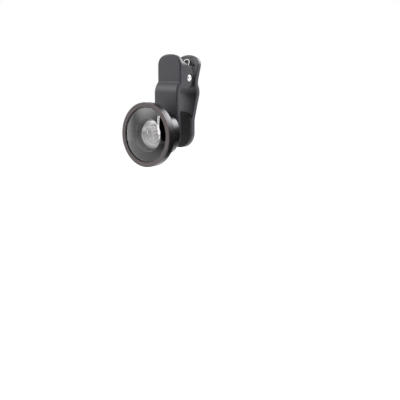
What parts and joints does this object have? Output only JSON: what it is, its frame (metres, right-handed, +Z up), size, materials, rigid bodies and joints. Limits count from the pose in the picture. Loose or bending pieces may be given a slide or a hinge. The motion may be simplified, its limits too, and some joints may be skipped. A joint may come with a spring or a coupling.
{
  "type": "clip-on wide-angle lens",
  "caption": "Sprung clip with rubber pads that holds a round wide-angle lens, screwed on a macro base lens, in front of a small camera.",
  "frame": {"origin": "where the lens axis meets the front pad's contact face, with the jaws parallel and 7.6 mm apart", "axes": "+Y along the lens axis, from the lens into what is clipped; +Z up from the lens to the handles; +X across the clip"},
  "size_m": [0.0352, 0.0411, 0.0608],
  "materials": {
    "clip_plastic": "satin moulded ABS, near black",
    "pad_rubber": "matte black silicone rubber",
    "insert_metal": "black anodised aluminium",
    "pin_chrome": "bright nickel plate",
    "spring_steel": "bright drawn spring wire",
    "barrel_metal": "black anodised, turned, satin",
    "ring_metal": "dark grey anodised, turned, satin",
    "blackened_ring": "dead matte black anodised",
    "glass": "polished optical glass, coated"
  },
  "bodies": {
    "front": {"front_lever": "clip_plastic", "front_pad": "pad_rubber", "mount_insert": "insert_metal", "pivot_pin": "pin_chrome", "pin_cap": "pin_chrome", "torsion_spring": "spring_steel"},
    "rear": {"rear_lever": "clip_plastic", "rear_pad": "pad_rubber"},
    "macro_glass": {"macro_element": "glass"},
    "macro": {"macro_barrel": "barrel_metal", "macro_retaining_ring": "blackened_ring", "base_washer": "pad_rubber", "seam_washer": "pad_rubber"},
    "wide_glass": {"front_meniscus": "glass", "inner_element": "glass"},
    "wide": {"wide_barrel": "barrel_metal", "front_ring": "ring_metal", "glass_seal": "pad_rubber", "light_baffle": "blackened_ring", "inner_retaining_ring": "blackened_ring"}
  },
  "joints": [
    {"name": "jaw_open", "type": "hinge", "parent": "front", "child": "rear", "pos_m": [0, 0.0075, 0.0302], "axis": [1, 0, 0], "range_deg": [-11.2, 28], "stiffness_Nm_per_rad": 0.12, "springref_deg": -57.3, "deforming": ["torsion_spring"]},
    {"name": "macro_travel", "type": "slide", "parent": "front", "child": "macro_glass", "axis": [0, -1, 0], "range_m": [0, 0.0023]},
    {"name": "macro_turn", "type": "hinge", "parent": "macro_glass", "child": "macro", "pos_m": [0, -0.009, 0], "axis": [0, -1, 0], "range_deg": [0, 1080]},
    {"name": "wide_travel", "type": "slide", "parent": "macro", "child": "wide_glass", "axis": [0, -1, 0], "range_m": [0, 0.0023]},
    {"name": "wide_turn", "type": "hinge", "parent": "wide_glass", "child": "wide", "pos_m": [0, -0.0165, 0], "axis": [0, -1, 0], "range_deg": [0, 1080]}
  ],
  "couplings": [
    {"joint": "macro_travel", "follows": "macro_turn", "m_per_rad": 0.00011937},
    {"joint": "wide_travel", "follows": "wide_turn", "m_per_rad": 0.00011937}
  ]
}
